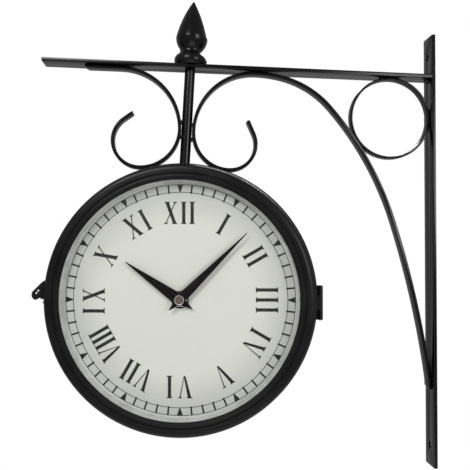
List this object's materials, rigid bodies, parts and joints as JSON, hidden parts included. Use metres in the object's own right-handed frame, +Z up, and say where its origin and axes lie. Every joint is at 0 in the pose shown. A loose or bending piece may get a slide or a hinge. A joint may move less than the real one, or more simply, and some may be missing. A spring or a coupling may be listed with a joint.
{
  "type": "double sided wall clock",
  "caption": "Round double sided clock with glazed faces, hung from a wrought flat-bar wall bracket with scrolls, a corner hoop and a bud finial.",
  "frame": {"origin": "on the back of the wall bar, midway between its two screw holes", "axes": "+X into the wall, +Z up, -Y towards the front reader; the clock hangs on the -X side"},
  "size_m": [0.3538, 0.1106, 0.417],
  "materials": {
    "bracket_black": "satin black powder coat",
    "bezel_black": "satin black paint",
    "case_black": "satin black paint",
    "zinc_steel": "zinc plated",
    "contact_metal": "nickel plated spring steel",
    "glass": "clear flat glass",
    "dial_face": "off-white printed sheet, matt",
    "silver_ring": "pale silver grey",
    "black_hand": "satin black",
    "hand_cap": "dull nickel",
    "brass": "plain brass",
    "movement_case": "moulded black",
    "white_knob": "moulded white",
    "gear_plastic": "moulded white",
    "battery_jacket": "plain blue jacket",
    "circuit_board": "green board with copper coil"
  },
  "bodies": {
    "bracket": {"wall_bar": "bracket_black", "arm_bar": "bracket_black", "brace_scroll": "bracket_black", "left_scroll": "bracket_black", "corner_hoop": "bracket_black", "weld_beads": "bracket_black", "stem": "bracket_black", "finial": "bracket_black", "finial_stud": "zinc_steel", "swivel_washer": "zinc_steel", "swivel_nut": "zinc_steel"},
    "case": {"drum": "case_black", "drum_boss": "case_black", "rear_bezel": "bezel_black", "rear_glass": "glass", "rear_spacer_ring": "silver_ring", "rear_dial": "dial_face", "rear_retaining_ring": "bezel_black", "rear_joint_ring": "bezel_black", "case_hinge_leaf": "case_black", "hinge_pin": "zinc_steel", "case_rivets": "case_black", "clasp_base": "case_black", "clasp_pin": "zinc_steel", "rear_movement_housing": "movement_case", "rear_movement_cover": "movement_case", "rear_dial_nut": "brass", "rear_battery": "battery_jacket", "rear_battery_contacts": "contact_metal", "rear_drive_unit": "circuit_board"},
    "clasp": {"clasp_lever": "case_black"},
    "front_door": {"front_bezel": "bezel_black", "front_glass": "glass", "front_spacer_ring": "silver_ring", "front_dial": "dial_face", "front_retaining_ring": "bezel_black", "door_hinge_leaf": "case_black", "clasp_keeper": "case_black", "door_rivets": "case_black", "front_movement_housing": "movement_case", "front_movement_cover": "movement_case", "front_dial_nut": "brass", "front_battery": "battery_jacket", "front_battery_contacts": "contact_metal", "front_drive_unit": "circuit_board"},
    "front_minute": {"front_minute_hand": "black_hand", "front_minute_arbor": "gear_plastic", "front_hand_cap": "hand_cap"},
    "front_hour": {"front_hour_hand": "black_hand", "front_hour_wheel": "gear_plastic"},
    "front_motion": {"front_motion_wheel": "gear_plastic"},
    "front_knob": {"front_setting_knob": "white_knob"},
    "rear_minute": {"rear_minute_hand": "black_hand", "rear_minute_arbor": "gear_plastic", "rear_hand_cap": "hand_cap"},
    "rear_hour": {"rear_hour_hand": "black_hand", "rear_hour_wheel": "gear_plastic"},
    "rear_motion": {"rear_motion_wheel": "gear_plastic"},
    "rear_knob": {"rear_setting_knob": "white_knob"}
  },
  "joints": [
    {"name": "case_swivel", "type": "hinge", "parent": "bracket", "child": "case", "pos_m": [-0.22633, 0, 0.0742], "axis": [0, 0, 1], "range_deg": [-20, 34]},
    {"name": "door_hinge", "type": "hinge", "parent": "case", "child": "front_door", "pos_m": [-0.11363, -0.0422, -0.04337], "axis": [0, 0, 1], "range_deg": [0, 110]},
    {"name": "clasp_pivot", "type": "hinge", "parent": "case", "child": "clasp", "pos_m": [-0.34627, -0.00039, -0.03607], "axis": [0, 0, -1], "range_deg": [0, 35]},
    {"name": "front_minute_turn", "type": "hinge", "parent": "front_door", "child": "front_minute", "pos_m": [-0.22999, -0.02978, -0.04107], "axis": [0.1219, 0.9925, 0], "continuous": true},
    {"name": "front_hour_turn", "type": "hinge", "parent": "front_door", "child": "front_hour", "pos_m": [-0.22999, -0.02978, -0.04107], "axis": [0.1219, 0.9925, 0], "continuous": true},
    {"name": "front_motion_turn", "type": "hinge", "parent": "front_door", "child": "front_motion", "pos_m": [-0.2295, -0.02581, -0.03207], "axis": [0.1219, 0.9925, 0], "continuous": true},
    {"name": "front_knob_turn", "type": "hinge", "parent": "front_door", "child": "front_knob", "pos_m": [-0.2377, -0.01875, -0.03207], "axis": [0.1219, 0.9925, 0], "continuous": true},
    {"name": "rear_minute_turn", "type": "hinge", "parent": "case", "child": "rear_minute", "pos_m": [-0.22267, 0.02978, -0.04107], "axis": [-0.1219, -0.9925, 0], "continuous": true},
    {"name": "rear_hour_turn", "type": "hinge", "parent": "case", "child": "rear_hour", "pos_m": [-0.22267, 0.02978, -0.04107], "axis": [-0.1219, -0.9925, 0], "continuous": true},
    {"name": "rear_motion_turn", "type": "hinge", "parent": "case", "child": "rear_motion", "pos_m": [-0.22316, 0.02581, -0.03207], "axis": [-0.1219, -0.9925, 0], "continuous": true},
    {"name": "rear_knob_turn", "type": "hinge", "parent": "case", "child": "rear_knob", "pos_m": [-0.21496, 0.01875, -0.03207], "axis": [-0.1219, -0.9925, 0], "continuous": true}
  ],
  "couplings": [
    {"joint": "front_hour_turn", "follows": "front_minute_turn", "ratio": 0.083333},
    {"joint": "front_motion_turn", "follows": "front_minute_turn", "ratio": -0.33333},
    {"joint": "front_knob_turn", "follows": "front_minute_turn", "ratio": 1},
    {"joint": "rear_hour_turn", "follows": "rear_minute_turn", "ratio": 0.083333},
    {"joint": "rear_motion_turn", "follows": "rear_minute_turn", "ratio": -0.33333},
    {"joint": "rear_knob_turn", "follows": "rear_minute_turn", "ratio": 1}
  ]
}
